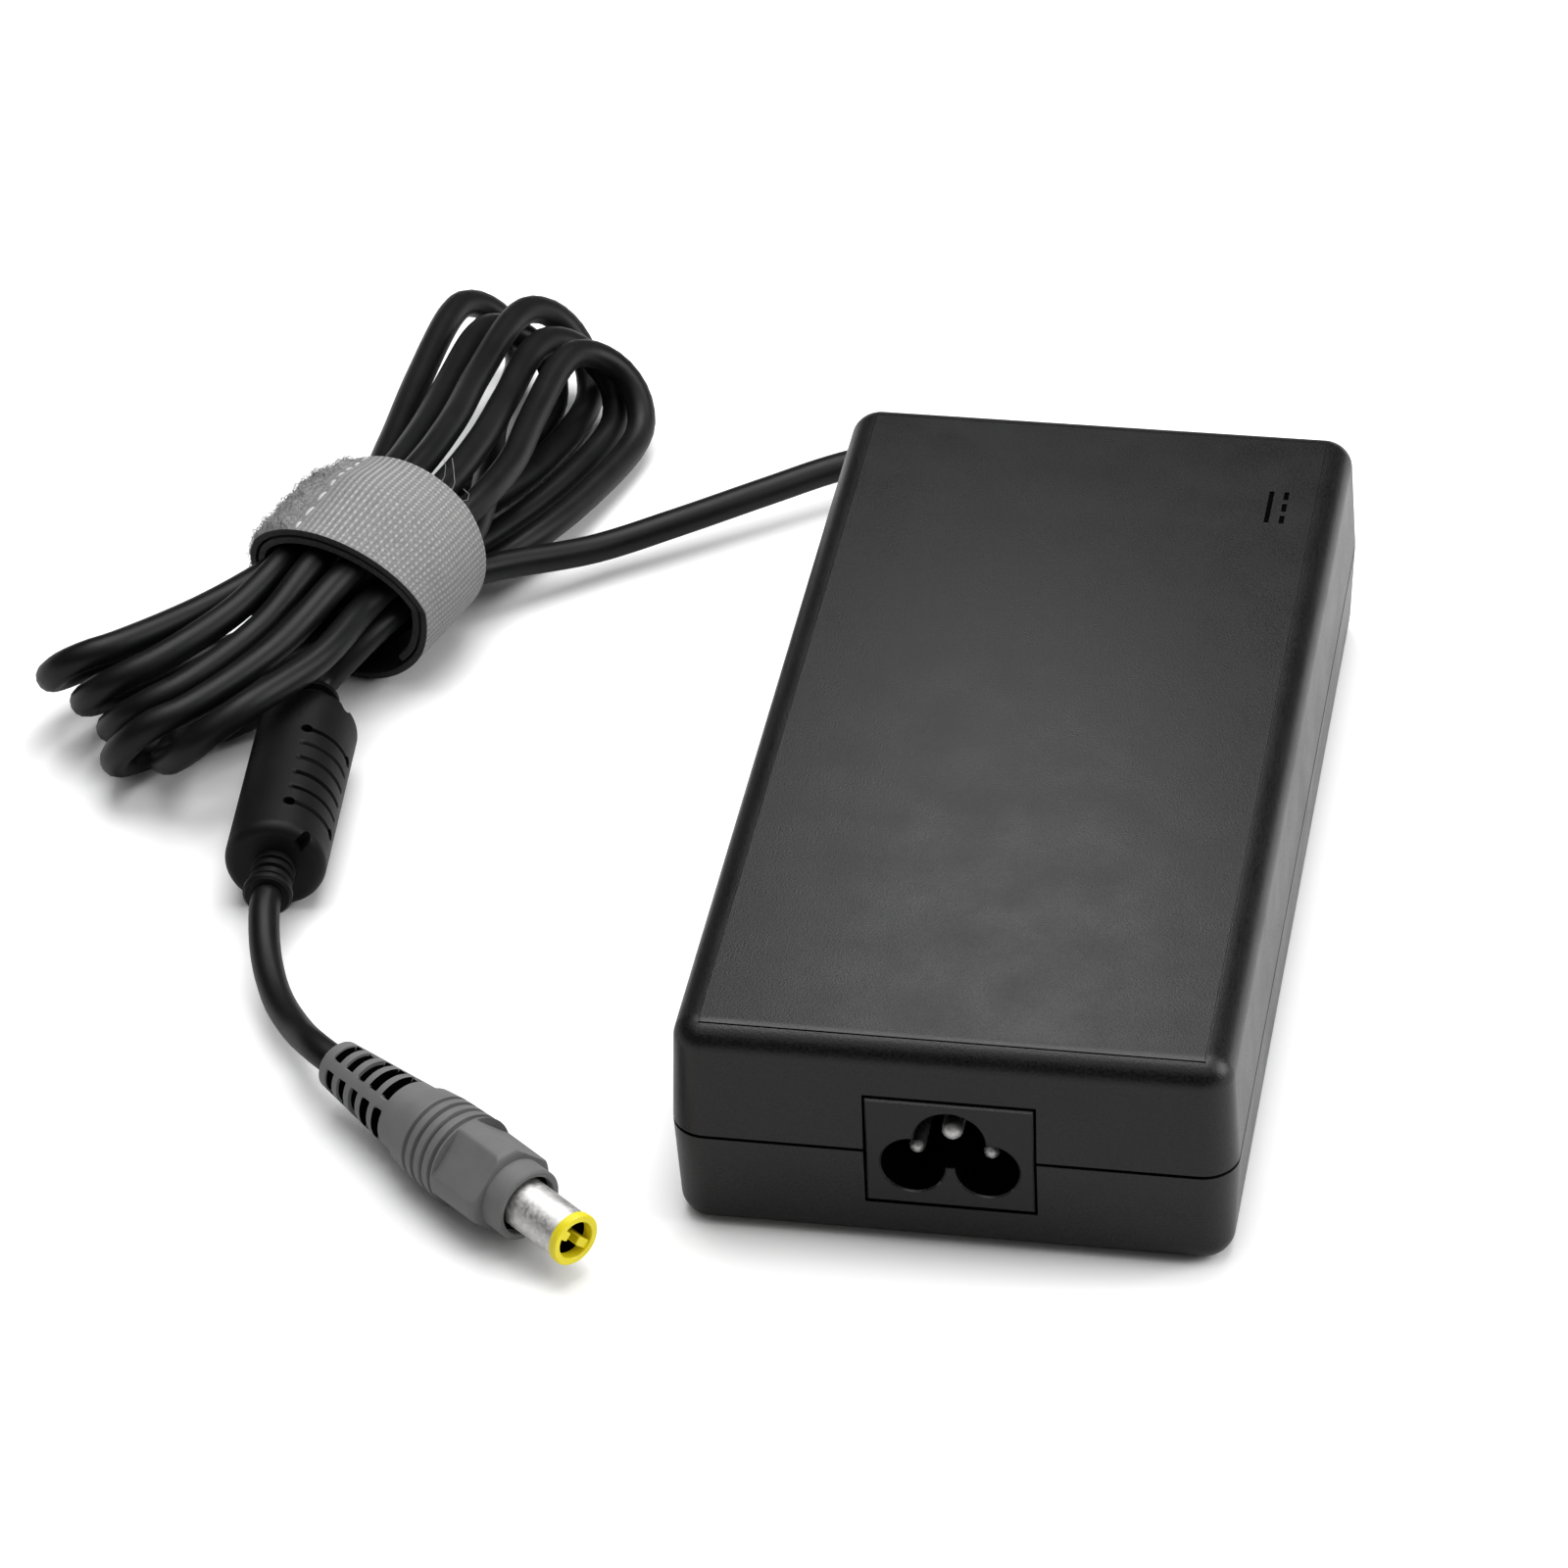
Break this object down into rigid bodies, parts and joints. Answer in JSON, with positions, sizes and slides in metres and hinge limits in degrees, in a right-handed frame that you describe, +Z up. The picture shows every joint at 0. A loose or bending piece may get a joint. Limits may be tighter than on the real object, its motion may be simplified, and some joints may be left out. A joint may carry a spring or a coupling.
{
  "type": "laptop power adapter",
  "caption": "Laptop power adapter: black two-shell housing with a three-pole inlet, output cord in a strapped hank, ferrite moulding and grey barrel plug with a yellow tip.",
  "frame": {"origin": "middle of the housing's underside", "axes": "+Z up off the surface it lies on; the mains inlet faces -Y and the output cord leaves at +Y; the hank and the plug lie at -X"},
  "size_m": [0.2102, 0.2477, 0.0365],
  "materials": {
    "black_plastic": "black, finely textured",
    "grey_plastic": "mid grey, matt",
    "cord_rubber": "black, satin",
    "strap_fabric": "grey woven loop tape",
    "yellow_plastic": "yellow, satin",
    "nickel": "bright nickel plate, lightly scuffed",
    "board": "green board laminate",
    "aluminium": "mill finish",
    "ferrite": "dark grey ceramic, matt",
    "copper": "enamelled copper wire",
    "capacitor_sleeve": "dark blue sleeve",
    "film": "pale yellow film and tape",
    "component": "black moulding compound",
    "ceramic": "blue dipped coating"
  },
  "bodies": {
    "root": {"bottom_shell": "black_plastic", "top_shell": "black_plastic", "inlet_body": "black_plastic", "line_pin": "nickel", "neutral_pin": "nickel", "earth_pin": "nickel", "circuit_board": "board", "insulation_sheet": "film", "lower_heat_spreader": "aluminium", "upper_heat_spreader": "aluminium", "primary_heatsink": "aluminium", "secondary_heatsink": "aluminium", "bridge_rectifier": "component", "power_factor_transistor": "component", "main_transistor": "component", "output_rectifier": "component", "fuse": "ceramic", "thermistor": "component", "varistor": "ceramic", "y_capacitor": "ceramic", "x_capacitor": "film", "line_choke_core": "ferrite", "line_choke_winding": "copper", "power_factor_inductor_core": "ferrite", "power_factor_inductor_winding": "copper", "transformer_core": "ferrite", "transformer_winding": "film", "bulk_capacitor": "capacitor_sleeve", "output_capacitor_1": "capacitor_sleeve", "output_capacitor_2": "capacitor_sleeve", "optocoupler": "component", "control_chip": "component", "output_lead": "cord_rubber", "housing_strain_relief": "black_plastic", "ferrite_cover": "black_plastic", "ferrite_core": "ferrite", "hook_and_loop_strap": "strap_fabric", "cord_hank": "cord_rubber", "cord_first_run": "cord_rubber", "plug_body": "grey_plastic", "plug_barrel": "nickel", "plug_tip_insulator": "yellow_plastic", "plug_centre_pin": "nickel", "cord_tail": "cord_rubber"}
  },
  "joints": []
}
